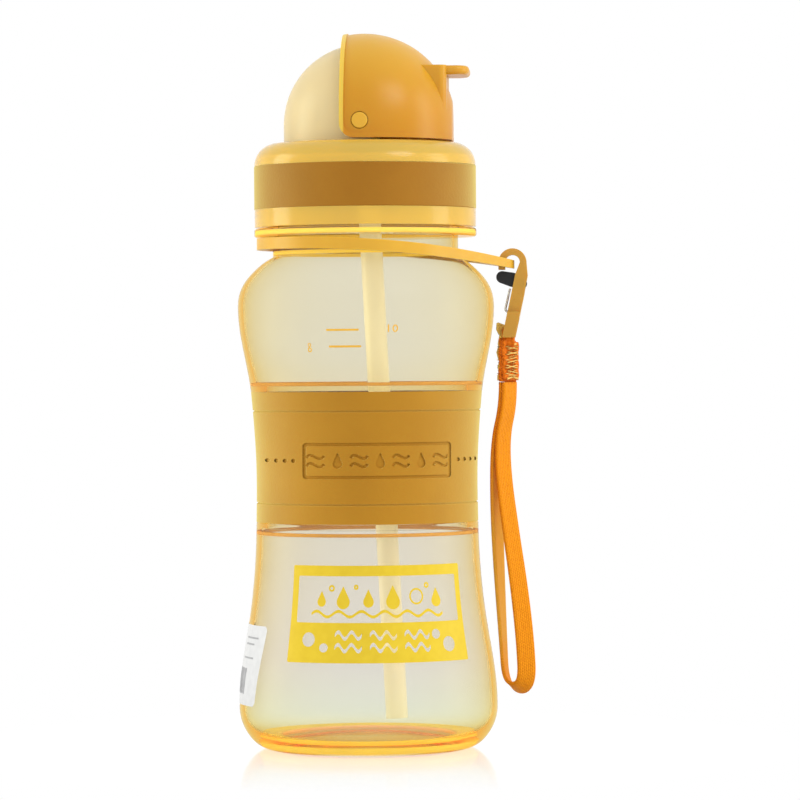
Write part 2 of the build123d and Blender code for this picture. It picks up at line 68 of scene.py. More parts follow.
def new_material(name):
    """A material with one Principled shader; returns it, its nodes, its links and the shader."""
    material = bpy.data.materials.new(name)
    material.use_nodes = True
    tree = material.node_tree
    tree.nodes.clear()
    shader = tree.nodes.new("ShaderNodeBsdfPrincipled")
    output = tree.nodes.new("ShaderNodeOutputMaterial")
    tree.links.new(shader.outputs[0], output.inputs["Surface"])
    return material, tree, shader, output


def set_sockets(shader, **values):
    """Sets plain values on the shader's sockets, named with underscores for spaces."""
    for key, value in values.items():
        shader.inputs[key.replace("_", " ")].default_value = value


def noise_factor(tree, scale, detail=3.0, stretch=(1, 1, 1)):
    """A noise pattern fixed to the object, between 0 and 1."""
    place = tree.nodes.new("ShaderNodeTexCoord")
    mapping = tree.nodes.new("ShaderNodeMapping")
    mapping.inputs["Scale"].default_value = stretch
    noise = tree.nodes.new("ShaderNodeTexNoise")
    noise.inputs["Scale"].default_value = scale
    noise.inputs["Detail"].default_value = detail
    tree.links.new(place.outputs["Object"], mapping.inputs["Vector"])
    tree.links.new(mapping.outputs[0], noise.inputs["Vector"])
    return noise.outputs["Fac"]


def blend_colours(tree, factor, colours):
    """A colour ramp over a factor: colours is a list of (place, (r, g, b))."""
    ramp = tree.nodes.new("ShaderNodeValToRGB")
    while len(ramp.color_ramp.elements) < len(colours):
        ramp.color_ramp.elements.new(0.5)
    for element, (place, colour) in zip(ramp.color_ramp.elements, colours):
        element.position = place
        element.color = (*colour, 1)
    tree.links.new(factor, ramp.inputs["Fac"])
    return ramp.outputs["Color"]


def add_bump(tree, shader, height, strength, distance):
    bump = tree.nodes.new("ShaderNodeBump")
    bump.inputs["Strength"].default_value = strength
    bump.inputs["Distance"].default_value = distance
    tree.links.new(height, bump.inputs["Height"])
    tree.links.new(bump.outputs[0], shader.inputs["Normal"])
    return bump


def map_range(tree, value, low, high, to_low, to_high):
    node = tree.nodes.new("ShaderNodeMapRange")
    node.inputs["From Min"].default_value = low
    node.inputs["From Max"].default_value = high
    node.inputs["To Min"].default_value = to_low
    node.inputs["To Max"].default_value = to_high
    tree.links.new(value, node.inputs["Value"])
    return node.outputs[0]


def absorb(tree, output, colour, density):
    """Tints light by how far it travels inside the plastic."""
    volume = tree.nodes.new("ShaderNodeVolumeAbsorption")
    volume.inputs["Color"].default_value = (*colour, 1)
    volume.inputs["Density"].default_value = density
    tree.links.new(volume.outputs[0], output.inputs["Volume"])


def clear_plastic():
    """The bottle: clear amber plastic, pale where it is thin and deep orange along its edges."""
    material, tree, shader, output = new_material("bottle_clear")
    set_sockets(shader, Transmission_Weight=0.95, IOR=1.012)
    set_sockets(shader, Coat_Weight=0.07, Coat_Roughness=0.2, Coat_IOR=1.5)
    # The base colour is painted light and shade: it changes with height and is cooler low on the bottle.
    level = map_range(tree, position(tree, "Z"), 0.0, 0.098, 0, 1)
    painted_light_by_height = [
        (0.0, (0.9, 0.93, 0.9)),
        (0.07, (0.88, 0.95, 1.0)),
        (0.25, (0.87, 0.89, 1.0)),
        (0.62, (0.87, 0.885, 0.95)),
        (1.0, (0.88, 0.895, 0.915)),
    ]
    tree.links.new(blend_colours(tree, level, painted_light_by_height), shader.inputs["Base Color"])
    smears = noise_factor(tree, 28, 4, (1, 1, 0.5))
    tree.links.new(map_range(tree, smears, 0.35, 0.7, 0.04, 0.13), shader.inputs["Roughness"])
    add_bump(tree, shader, noise_factor(tree, 16, 2), 0.06, 0.002)
    absorb(tree, output, (0.99, 0.81, 0.20), 160)
    return material


def position(tree, axis):
    """A point's place along one axis, in metres."""
    split = tree.nodes.new("ShaderNodeSeparateXYZ")
    tree.links.new(tree.nodes.new("ShaderNodeTexCoord").outputs["Object"], split.inputs[0])
    return split.outputs[axis]


def mix_colours(tree, factor, first, second):
    """The first colour, given as a socket, shading into the second, given as a value."""
    mix = tree.nodes.new("ShaderNodeMix")
    mix.data_type = "RGBA"
    tree.links.new(factor, mix.inputs["Factor"])
    tree.links.new(first, mix.inputs[6])
    mix.inputs[7].default_value = (*second, 1)
    return mix.outputs[2]


def reach_of(tree):
    """How far a point is from the bottle's axis, in metres."""
    place = tree.nodes.new("ShaderNodeTexCoord")
    flat = tree.nodes.new("ShaderNodeVectorMath")
    flat.operation = "MULTIPLY"
    flat.inputs[1].default_value = (1, 1, 0)
    tree.links.new(place.outputs["Object"], flat.inputs[0])
    length = tree.nodes.new("ShaderNodeVectorMath")
    length.operation = "LENGTH"
    tree.links.new(flat.outputs[0], length.inputs[0])
    return length.outputs["Value"]


def lid_plastic():
    """The lid: translucent amber at its skirt and shoulder, paler and more frosted over the dome."""
    material, tree, shader, output = new_material("lid_plastic")
    set_sockets(shader, Transmission_Weight=0.5, IOR=1.3, Coat_Weight=0.1, Coat_Roughness=0.3)
    level = map_range(tree, reach_of(tree), 0.0248, 0.0238, 0, 1)
    amber_to_pale = [(0.0, (1.0, 0.68, 0.12)), (1.0, (0.94, 0.80, 0.47))]
    tree.links.new(blend_colours(tree, level, amber_to_pale), shader.inputs["Base Color"])
    scuffs = noise_factor(tree, 240, 5, (1, 1, 0.3))
    rough = tree.nodes.new("ShaderNodeMath")
    rough.operation = "MULTIPLY_ADD"
    rough.inputs[1].default_value = 0.2
    tree.links.new(level, rough.inputs[0])
    tree.links.new(map_range(tree, scuffs, 0.3, 0.7, 0.12, 0.2), rough.inputs[2])
    tree.links.new(rough.outputs[0], shader.inputs["Roughness"])
    add_bump(tree, shader, noise_factor(tree, 900, 2), 0.05, 0.0002)
    absorb(tree, output, (0.97, 0.80, 0.20), 90)
    return material


def milky_plastic(name, base, deep, transmission, density, rough=(0.28, 0.4), painted_glow=0.0):
    """Frosted plastic: light goes through it, and thick places look deeper."""
    material, tree, shader, output = new_material(name)
    set_sockets(shader, Transmission_Weight=transmission, IOR=1.35, Coat_Weight=0.5, Coat_Roughness=0.3)
    # The emission is painted light: the part glows in its base colour, as if lit where no lamp reaches it.
    set_sockets(shader, Emission_Color=(*base, 1), Emission_Strength=painted_glow)
    cloud = noise_factor(tree, 35, 2)
    tree.links.new(blend_colours(tree, cloud, [(0.3, base), (0.7, deep)]), shader.inputs["Base Color"])
    scuffs = noise_factor(tree, 240, 5, (1, 1, 0.3))
    tree.links.new(map_range(tree, scuffs, 0.3, 0.7, *rough), shader.inputs["Roughness"])
    add_bump(tree, shader, noise_factor(tree, 900, 2), 0.03, 0.0001)
    absorb(tree, output, (0.96, 0.78, 0.10), density)
    return material


def visor_plastic():
    """The flip cover: smooth orange plastic with a soft gloss, with painted light making it lighter toward its top
    and a painted highlight along its lip.
    """
    material, tree, shader, _ = new_material("visor_plastic")
    set_sockets(shader, Subsurface_Weight=0.3, Subsurface_Radius=(0.004, 0.002, 0.0006))
    set_sockets(shader, Subsurface_Scale=1.0, Specular_IOR_Level=0.3)
    # Painted light: the colour grows lighter toward the top of the cover.
    level = map_range(tree, position(tree, "Z"), 0.164, 0.192, 0, 1)
    visor_painted_light = [(0.0, (0.54, 0.225, 0.005)), (0.45, (0.55, 0.25, 0.008)), (1.0, (0.60, 0.33, 0.025))]
    # Painted highlight: a pale strip along the lip at the cover's -X edge.
    lip_highlight = map_range(tree, position(tree, "X"), -0.0042, -0.0045, 0, 1)
    body = blend_colours(tree, level, visor_painted_light)
    tree.links.new(mix_colours(tree, lip_highlight, body, (0.66, 0.46, 0.06)), shader.inputs["Base Color"])
    scuffs = noise_factor(tree, 240, 5, (1, 1, 0.3))
    tree.links.new(map_range(tree, scuffs, 0.3, 0.7, 0.3, 0.38), shader.inputs["Roughness"])
    add_bump(tree, shader, noise_factor(tree, 900, 2), 0.05, 0.0001)
    return material


def rubber(name, base, deep, rough=0.5, grain=1400):
    """Matte moulded rubber with a fine grain and a soft bloom where it turns away."""
    material, tree, shader, _ = new_material(name)
    set_sockets(shader, Roughness=rough, Specular_IOR_Level=0.08, Sheen_Weight=1.0, Sheen_Roughness=0.5)
    set_sockets(shader, Sheen_Tint=(1.0, 0.93, 0.32, 1))
    set_sockets(shader, Subsurface_Weight=0.15, Subsurface_Radius=(0.002, 0.001, 0.0004))
    set_sockets(shader, Subsurface_Scale=1.0)
    cloud = noise_factor(tree, 60, 4)
    tree.links.new(blend_colours(tree, cloud, [(0.3, base), (0.72, deep)]), shader.inputs["Base Color"])
    add_bump(tree, shader, noise_factor(tree, grain, 3), 0.22, 0.0002)
    return material


def plain_plastic(name, base, deep, rough=0.35, subsurface=0.2, grain=700):
    """Solid moulded plastic with faint flow marks."""
    material, tree, shader, _ = new_material(name)
    set_sockets(shader, Subsurface_Weight=subsurface, Subsurface_Radius=(0.003, 0.0015, 0.0005))
    set_sockets(shader, Specular_IOR_Level=0.3)
    set_sockets(shader, Subsurface_Scale=1.0)
    cloud = noise_factor(tree, 90, 4, (1, 1, 0.4))
    tree.links.new(blend_colours(tree, cloud, [(0.3, base), (0.7, deep)]), shader.inputs["Base Color"])
    wear = noise_factor(tree, grain, 4)
    tree.links.new(map_range(tree, wear, 0.3, 0.7, rough - 0.06, rough + 0.08), shader.inputs["Roughness"])
    add_bump(tree, shader, wear, 0.08, 0.0002)
    return material


def steel():
    material, tree, shader, _ = new_material("pin_steel")
    set_sockets(shader, Base_Color=(0.62, 0.62, 0.63, 1), Metallic=1.0)
    drawn = noise_factor(tree, 2500, 3, (1, 1, 0.1))
    tree.links.new(map_range(tree, drawn, 0.3, 0.7, 0.18, 0.36), shader.inputs["Roughness"])
    add_bump(tree, shader, drawn, 0.1, 0.0001)
    return material


def webbing(name, light, dark, painted_light_stretch=False):
    """Woven ribbon: ribs across and along it, worked out from the ribbon's own UVs in metres."""
    material, tree, shader, _ = new_material(name)
    set_sockets(shader, Roughness=0.68, Sheen_Weight=0.1, Sheen_Roughness=0.4, Specular_IOR_Level=0.1)
    place = tree.nodes.new("ShaderNodeTexCoord")
    split = tree.nodes.new("ShaderNodeSeparateXYZ")
    tree.links.new(place.outputs["UV"], split.inputs[0])

    def ripple(value, pitch, shift):
        scaled = tree.nodes.new("ShaderNodeMath")
        scaled.operation = "MULTIPLY_ADD"
        scaled.inputs[1].default_value = 2 * pi / pitch
        scaled.inputs[2].default_value = shift
        tree.links.new(value, scaled.inputs[0])
        wave = tree.nodes.new("ShaderNodeMath")
        wave.operation = "SINE"
        tree.links.new(scaled.outputs[0], wave.inputs[0])
        return wave.outputs[0]

    def join(operation, one, two):
        node = tree.nodes.new("ShaderNodeMath")
        node.operation = operation
        tree.links.new(one, node.inputs[0])
        tree.links.new(two, node.inputs[1])
        return node.outputs[0]

    along = split.outputs["X"]
    across = split.outputs["Y"]
    over_under = join("MULTIPLY", ripple(along, 0.00075, 0.0), ripple(across, 0.0011, 1.2))
    ribs = join("MAXIMUM", over_under, ripple(across, 0.00055, 0.4))
    height = map_range(tree, ribs, -1, 1, 0, 1)
    fuzz = noise_factor(tree, 1500, 4)
    both = join("ADD", height, fuzz)
    # The colour is darker in the weave's hollows and lighter on its ribs: painted shade, with random fuzz.
    shade = map_range(tree, both, 0.35, 1.4, 0, 1)
    woven = blend_colours(tree, shade, [(0.0, dark), (1.0, light)])
    # Painted light: a lighter yellow stretch along part of the strap's run, where its leg is lit.
    if painted_light_stretch:
        run = map_range(tree, along, 0.0, 0.18, 0, 1)
        places = [(0.08, 0.0), (0.22, 0.5), (0.38, 0.5), (0.46, 0.0)]
        painted_light_mask = blend_colours(tree, run, [(at, (much, much, much)) for at, much in places])
        woven = mix_colours(tree, painted_light_mask, woven, (0.78, 0.50, 0.07))
    tree.links.new(woven, shader.inputs["Base Color"])
    add_bump(tree, shader, both, 0.7, 0.0003)
    return material


def paper():
    material, tree, shader, _ = new_material("label_paper")
    set_sockets(shader, Roughness=0.5)
    fibre = noise_factor(tree, 500, 5)
    tint = blend_colours(tree, fibre, [(0.3, (0.56, 0.56, 0.60)), (0.7, (0.62, 0.62, 0.66))])
    tree.links.new(tint, shader.inputs["Base Color"])
    add_bump(tree, shader, fibre, 0.1, 0.0001)
    return material


def ink(name, base, deep, rough=0.4):
    """A printed film, a little uneven."""
    material, tree, shader, _ = new_material(name)
    set_sockets(shader, Roughness=rough, Specular_IOR_Level=0.15)
    spread = noise_factor(tree, 420, 4)
    tree.links.new(blend_colours(tree, spread, [(0.3, base), (0.7, deep)]), shader.inputs["Base Color"])
    return material


mats = {
    "bottle_clear": clear_plastic(),
    "lid": lid_plastic(),
    "visor": visor_plastic(),
    "pins": plain_plastic("pin_plastic", (0.70, 0.38, 0.03), (0.66, 0.35, 0.025)),
    "sleeve": rubber("sleeve_rubber", (0.44, 0.20, 0.012), (0.40, 0.175, 0.01)),
    "band": rubber("band_rubber", (0.34, 0.135, 0.008), (0.30, 0.115, 0.006)),
    "silicone": rubber("spout_silicone", (0.86, 0.80, 0.62), (0.82, 0.75, 0.56), 0.45),
    # The straw's emission is painted light, so it looks lit inside the bottle.
    "straw": milky_plastic("straw_plastic", (0.90, 0.84, 0.60), (0.88, 0.81, 0.56), 0.3, 10, painted_glow=0.25),
    "loop": plain_plastic("loop_plastic", (0.68, 0.38, 0.03), (0.62, 0.33, 0.024), 0.38, 0.3),
    "hook": plain_plastic("hook_plastic", (0.55, 0.29, 0.035), (0.49, 0.25, 0.028), 0.32, 0.25),
    "gate": plain_plastic("gate_plastic", (0.012, 0.012, 0.012), (0.02, 0.019, 0.018), 0.4, 0.0),
    "steel": steel(),
    # The strap carries a stretch of painted light along one leg.
    "webbing": webbing("webbing", (0.90, 0.31, 0.006), (0.62, 0.14, 0.003), True),
    "webbing_red": webbing("webbing_red", (0.85, 0.20, 0.008), (0.55, 0.09, 0.003)),
    "webbing_pale": webbing("webbing_pale", (0.84, 0.56, 0.12), (0.74, 0.44, 0.08)),
    "thread": ink("stitch_thread", (0.98, 0.66, 0.20), (0.94, 0.56, 0.12), 0.6),
    "paper": paper(),
    "print": ink("print_yellow", (0.72, 0.52, 0.03), (0.68, 0.48, 0.025)),
    "marks": ink("print_orange", (0.80, 0.46, 0.06), (0.76, 0.42, 0.05)),
    "bars": ink("label_bars", (0.30, 0.30, 0.33), (0.36, 0.36, 0.39)),
}

node_looks = {
    "bottle_body": "bottle_clear",
    "grip_sleeve": "sleeve",
    "seal_ring": "silicone",
    "lid_shell": "lid",
    "lid_grip_band": "band",
    "visor": "visor",
    "visor_pins": "pins",
    "vent_valve": "silicone",
    "spout_base": "silicone",
    "spout_tube": "silicone",
    "straw_socket": "lid",
    "straw": "straw",
    "neck_loop": "loop",
    "hook_body": "hook",
    "gate_lever": "gate",
    "gate_pin": "hook",
    "gate_spring": "steel",
}


def paint_nodes():
    """Every carried-over CAD node gets its material."""
    for name, look in node_looks.items():
        piece = nodes[name]
        for place in piece.material_slots:
            place.material = mats[look]
        if not piece.material_slots:
            piece.data.materials.append(mats[look])


# ---- floor, light ----

def stage_material():
    """White floor that fades into the background away from the object."""
    material, tree, shader, output = new_material("floor_white")
    set_sockets(shader, Base_Color=(0.25, 0.25, 0.25, 1), Roughness=0.1, Specular_IOR_Level=0.5)
    set_sockets(shader, Emission_Color=(0.93, 0.94, 1, 1), Emission_Strength=0.42)
    place = tree.nodes.new("ShaderNodeTexCoord")
    length = tree.nodes.new("ShaderNodeVectorMath")
    length.operation = "LENGTH"
    tree.links.new(place.outputs["Object"], length.inputs[0])
    fade = map_range(tree, length.outputs["Value"], 0.035, 0.12, 0.1, 1)
    clear = tree.nodes.new("ShaderNodeBsdfTransparent")
    mix = tree.nodes.new("ShaderNodeMixShader")
    tree.links.new(fade, mix.inputs[0])
    tree.links.new(shader.outputs[0], mix.inputs[1])
    tree.links.new(clear.outputs[0], mix.inputs[2])
    tree.links.new(mix.outputs[0], output.inputs["Surface"])
    return material


def build_stage():
    mesh = bpy.data.meshes.new("floor")
    half = 0.6
    corners = [(-half, -half, 0), (half, -half, 0), (half, half, 0), (-half, half, 0)]
    mesh.from_pydata(corners, [], [(0, 1, 2, 3)])
    mesh.materials.append(stage_material())
    floor = bpy.data.objects.new("floor", mesh)
    bpy.context.scene.collection.objects.link(floor)


def add_light(name, place, aim, size, power, colour=(1, 1, 1)):
    lamp = bpy.data.lights.new(name, "AREA")
    lamp.shape = "RECTANGLE"
    lamp.size, lamp.size_y = size
    lamp.energy = power
    lamp.color = colour
    light = bpy.data.objects.new(name, lamp)
    light.location = place
    light.rotation_euler = (Vector(aim) - Vector(place)).to_track_quat("-Z", "Y").to_euler()
    bpy.context.scene.collection.objects.link(light)
    return light


def build_lights():
    world = bpy.data.worlds.new("studio")
    world.use_nodes = True
    back = world.node_tree.nodes["Background"]
    back.inputs["Color"].default_value = (1, 1, 1, 1)
    back.inputs["Strength"].default_value = 1.0
    bpy.context.scene.world = world
    bpy.context.scene.view_settings.view_transform = "Standard"
    add_light("key", (-0.9, 0.05, 0.25), (0, 0, 0.1), (0.4, 0.8), 4.6, (1, 1, 0.75))
    add_light("fill", (0.9, -0.05, 0.3), (0, 0, 0.1), (0.35, 0.7), 2.6, (1, 1, 0.85))
    add_light("top", (0.45, -0.45, 0.6), (0, 0, 0.17), (0.3, 0.3), 1.6)


def new_object(name, mesh, material, smooth=True):
    mesh.materials.append(material)
    for face in mesh.polygons:
        face.use_smooth = smooth
    piece = bpy.data.objects.new(name, mesh)
    bpy.context.scene.collection.objects.link(piece)
    return piece


# ---- print and label on the bottle's wall ----

depsgraph = bpy.context.evaluated_depsgraph_get()
wall_tree = BVHTree.FromObject(nodes["bottle_body"], depsgraph)


def on_bottle(turn, height, lift):
    """The point just off the bottle's wall at this turn from the front (toward +X) and height."""
    outward = Vector((sin(turn), -cos(turn), 0))
    hit = wall_tree.ray_cast(outward * 0.06 + Vector((0, 0, height)), -outward)[0]
    return hit + outward * lift


def round_outline(x, y, wide, tall, count=26):
    return [(x + wide * cos(2 * pi * i / count), y + tall * sin(2 * pi * i / count)) for i in range(count)]


def box_outline(left, low, right, high, corner=0.3):
    """A rectangle with clipped corners."""
    c = corner
    return [
        (left + c, low), (right - c, low), (right, low + c), (right, high - c),
        (right - c, high), (left + c, high), (left, high - c), (left, low + c),
    ]


def ripple_outline(x, y, length, rise, line, crests):
    """A band of even thickness along a sine."""
    count = 12 * crests
    steps = []
    for i in range(count + 1):
        share = i / count
        steps.append((x + length * (share - 0.5), y + rise * sin(2 * pi * crests * share)))
    over = [(u, v + line / 2) for u, v in steps]
    under = [(u, v - line / 2) for u, v in reversed(steps)]
    return over + under


def drop_outline(x, y, radius):
    """A round foot rising to a point."""
    arc = [radians(27 - 234 * i / 20) for i in range(21)]
    foot = [(x + radius * cos(a), y + radius * sin(a)) for a in arc]
    return foot + [(x - 0.08, y + 2.15 * radius), (x + 0.08, y + 2.15 * radius)]


def flat_shape(outlines):
    """A flat filled mesh in millimetres, where an outline inside another is a hole."""
    data = bpy.data.curves.new("outline", "CURVE")
    data.dimensions = "2D"
    data.fill_mode = "BOTH"
    for outline in outlines:
        spline = data.splines.new("POLY")
        spline.points.add(len(outline) - 1)
        for point, (u, v) in zip(spline.points, outline):
            point.co = (u, v, 0, 1)
        spline.use_cyclic_u = True
    drawing = bpy.data.objects.new("outline", data)
    bpy.context.scene.collection.objects.link(drawing)
    graph = bpy.context.evaluated_depsgraph_get()
    mesh = bpy.data.meshes.new_from_object(drawing.evaluated_get(graph))
    bpy.data.objects.remove(drawing)
    bpy.data.curves.remove(data)
    return mesh


def wrap_on_bottle(name, outlines, material, reach, lift, middle=0.0, slant=0.0):
    """Outlines in millimetres (along the wall, height), cut fine and laid on the bottle's wall.

    reach is the wall's radius in millimetres there, middle the turn of their zero, and slant a turn for
    each millimetre below the first one's top.
    """
    mesh = flat_shape(outlines)
    shape = bmesh.new()
    shape.from_mesh(mesh)
    us = [v.co.x for v in shape.verts]
    vs = [v.co.y for v in shape.verts]
    cuts = [(0, min(us) + i) for i in range(1, int(max(us) - min(us)) + 1)]
    cuts += [(1, min(vs) + 2 * i) for i in range(1, int((max(vs) - min(vs)) / 2) + 1)]
    for axis, at in cuts:
        point = Vector((at, 0, 0)) if axis == 0 else Vector((0, at, 0))
        normal = Vector((1, 0, 0)) if axis == 0 else Vector((0, 1, 0))
        whole = shape.verts[:] + shape.edges[:] + shape.faces[:]
        bmesh.ops.bisect_plane(shape, geom=whole, dist=1e-5, plane_co=point, plane_no=normal)
    bmesh.ops.remove_doubles(shape, verts=shape.verts, dist=1e-4)
    high = max(vs)
    for vert in shape.verts:
        turn = middle + vert.co.x / reach - slant * (high - vert.co.y)
        vert.co = on_bottle(turn, vert.co.y * mm, lift)
    for face in shape.faces:
        face.normal_update()
        spot = face.calc_center_median()
        if face.normal.dot(Vector((spot.x, spot.y, 0))) < 0:
            face.normal_flip()
    shape.to_mesh(mesh)
    shape.free()
    piece = new_object(name, mesh, mats[material])
    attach(piece, "bottle")
    return piece


def build_prints():
    """The yellow panel low on the front: a window with ripples and drops over a solid band of bubbles."""
    middle = radians(9.3)
    holes = [box_outline(-24.7, 35.9, 24.7, 48.2)]
    for x, y, r in [(-20.4, 31.4, 1.9), (-15.8, 29.3, 1.2), (16.0, 32.6, 1.3), (20.1, 29.8, 2.0)]:
        holes.append(round_outline(x, y, r, r))
    for x in (-9.0, 0.6, 10.2):
        holes.append(ripple_outline(x, 32.6, 7.4, 0.9, 1.0, 2))
        holes.append(ripple_outline(x, 29.3, 7.4, 0.9, 1.0, 2))
    panel = [box_outline(-26.8, 25.3, 26.8, 51.0)] + holes
    wrap_on_bottle("front_panel", panel, "print", 33.5, 0.00005, middle)
    motifs = [ripple_outline(-0.5, 38.2, 39.0, 0.75, 0.8, 6)]
    drops = [(-17, 1.3), (-10.6, 1.9), (-3.4, 1.5), (3.6, 2.0), (17.0, 1.6)]
    motifs += [drop_outline(x, 41.4, r) for x, r in drops]
    for x, y, r in [(10.6, 42.7, 2.2), (14.0, 45.6, 0.8), (-14.0, 45.0, 0.9), (-6.9, 45.3, 0.7)]:
        motifs += [round_outline(x, y, r, r), round_outline(x, y, r - 0.5, r - 0.5)]
    wrap_on_bottle("panel_motifs", motifs, "print", 33.5, 0.00005, middle)


def painted_glow(name, colour, strength):
    """Painted glow: the plastic's colour given off as emission, standing in for light caught inside a thick edge of
    the wall.
    """
    material, tree, shader, _ = new_material(name)
    set_sockets(shader, Roughness=0.6, Specular_IOR_Level=0.0)
    set_sockets(shader, Emission_Color=(*colour, 1), Emission_Strength=strength, Alpha=0.85)
    streaks = noise_factor(tree, 60, 3, (1, 1, 0.2))
    deep = tuple(0.8 * c for c in colour)
    tree.links.new(blend_colours(tree, streaks, [(0.3, deep), (0.7, colour)]), shader.inputs["Base Color"])
    return material


def lathe(name, outline, material):
    """A closed outline of (radius, height) in millimetres, turned about the bottle's axis."""
    n = len(outline)
    steps = 120
    verts = []
    for i in range(steps):
        turn = 2 * pi * i / steps
        verts += [(r * mm * cos(turn), r * mm * sin(turn), z * mm) for r, z in outline]
    faces = []
    for i in range(steps):
        ahead = (i + 1) % steps
        for j in range(n):
            k = (j + 1) % n
            faces.append((i * n + j, ahead * n + j, ahead * n + k, i * n + k))
    mesh = bpy.data.meshes.new(name)
    mesh.from_pydata(verts, [], faces)
    piece = new_object(name, mesh, material)
    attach(piece, "bottle")
    return piece


def build_edge_glow():
    """Rings of painted glow inside the wall where its steps catch the light: by the sleeve, neck, flange and foot.
    """
    edge = painted_glow("edge_glow", (0.66, 0.30, 0.02), 0.35)
    light = painted_glow("light_glow", (0.86, 0.60, 0.07), 0.6)
    lathe("step_above_sleeve", [(29.4, 98.7), (31.0, 98.7), (31.1, 99.6), (29.5, 99.6)], edge)
    lathe("step_below_sleeve", [(28.4, 58.4), (29.9, 58.4), (29.8, 59.3), (28.3, 59.3)], edge)
    lathe("neck_root", [(23.9, 134.2), (24.8, 134.2), (24.8, 135.2), (23.9, 135.2)], light)
    lathe("foot_edge", [(24.0, 0.9), (26.8, 0.5), (28.6, 1.2), (29.6, 2.4), (26.0, 1.9)], light)
    lathe("floor_edge", [(23.5, 3.1), (26.0, 2.8), (29.2, 3.6), (28.8, 4.2), (25.0, 3.6)], light)
    lathe("flange_edge", [(25.6, 139.6), (29.6, 139.6), (29.6, 140.8), (25.6, 140.8)], light)


def build_scale():
    """Two level marks with their numbers on the upper belly."""
    marks = [box_outline(-8.7, 113.3, 0.0, 113.85, 0.1), box_outline(-8.2, 108.9, 0.6, 109.45, 0.1)]
    marks += [box_outline(7.6, 112.9, 8.0, 114.9, 0.05)]
    marks += [round_outline(9.6, 113.9, 0.75, 1.0), round_outline(9.6, 113.9, 0.4, 0.65)]
    for y, r in [(109.6, 0.55), (108.35, 0.65)]:
        marks += [round_outline(-13.8, y, 0.95 * r, r), round_outline(-13.8, y, 0.45 * r, 0.5 * r)]
    wrap_on_bottle("scale_marks", marks, "marks", 34.0, 0.00005)


def build_label():
    """A plain paper label low on the left, a little slanted, with grey bars in place of its print."""
    middle = radians(-75)
    slant = 0.0042
    label = wrap_on_bottle(
        "paper_label", [box_outline(-13.5, 12.6, 13.5, 34.2, 1.0)], "paper", 34.2, 0.0001, middle, slant
    )
    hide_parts("retail_sticker")
    bars = [box_outline(-11.5, 34.0, -11.4, 34.2, 0.02)]
    x = -3.5
    wides_and_gaps = [(0.5, 0.5), (0.9, 0.4), (0.4, 0.7), (0.7, 0.4), (0.4, 0.4), (1.0, 0.6), (0.5, 0.4), (0.8, 0.5)]
    for wide, gap in wides_and_gaps:
        bars.append(box_outline(x, 15.6, x + wide, 22.6, 0.05))
        x += wide + gap
    for y, length in [(30.6, 9.5), (28.9, 7.5), (25.2, 8.5)]:
        bars.append(box_outline(0, y, length, y + 0.45, 0.05))
    wrap_on_bottle("label_bars", bars, "bars", 34.2, 0.00014, middle, slant)


# ---- wrist strap ----

# The webbing's route below the sewn block, in millimetres, as (across the loop's plane, below the block).
leg = 0.6
strap_route = [
    (-leg, 0),
    (-leg, 6),
    (-4.4, 16.5),
    (-4.8, 35.5),
    (-3.8, 53.5),
    (-2.6, 69.5),
    (-1.6, 83.0),
    (6.9, 83.0),
    (6.2, 70.5),
    (3.9, 55.5),
    (0.8, 40.5),
    (-2.0, 25.5),
    (-2.3, 14.5),
    (leg, 6),
    (leg, 0),
]
strap_turn = radians(-45)
strap_width = 0.005
strap_thick = 0.001
tack_x = 0.0385
tack_foot = 0.0993
tack_top = 0.1102
bar_x = 0.0388
bar_z = 0.1129
across = Vector((cos(strap_turn), sin(strap_turn), 0))
level = Vector((-across.y, across.x, 0))


def smooth_route(name, points):
    """Points along the order 3 NURBS curve that has these control points."""
    data = bpy.data.curves.new(name, "CURVE")
    data.dimensions = "3D"
    data.resolution_u = 16
    spline = data.splines.new("NURBS")
    spline.points.add(len(points) - 1)
    for control, point in zip(spline.points, points):
        control.co = (*point, 1)
    spline.order_u = 3
    spline.use_endpoint_u = True
    curve = bpy.data.objects.new(name, data)
    bpy.context.scene.collection.objects.link(curve)
    depsgraph = bpy.context.evaluated_depsgraph_get()
    mesh = bpy.data.meshes.new_from_object(curve.evaluated_get(depsgraph))
    line = [v.co.copy() for v in mesh.vertices]
    bpy.data.meshes.remove(mesh)
    bpy.data.objects.remove(curve)
    bpy.data.curves.remove(data)
    return line


def even_points(line, step):
    """The same line with points an even step apart."""
    lengths = [0.0]
    for a, b in zip(line, line[1:]):
        lengths.append(lengths[-1] + (b - a).length)
    count = max(2, round(lengths[-1] / step))
    points = []
    i = 0
    for n in range(count + 1):
        goal = lengths[-1] * n / count
        while i < len(lengths) - 2 and lengths[i + 1] < goal:
            i += 1
        share = (goal - lengths[i]) / max(1e-9, lengths[i + 1] - lengths[i])
        points.append(line[i].lerp(line[i + 1], min(1, max(0, share))))
    return points, lengths[-1]


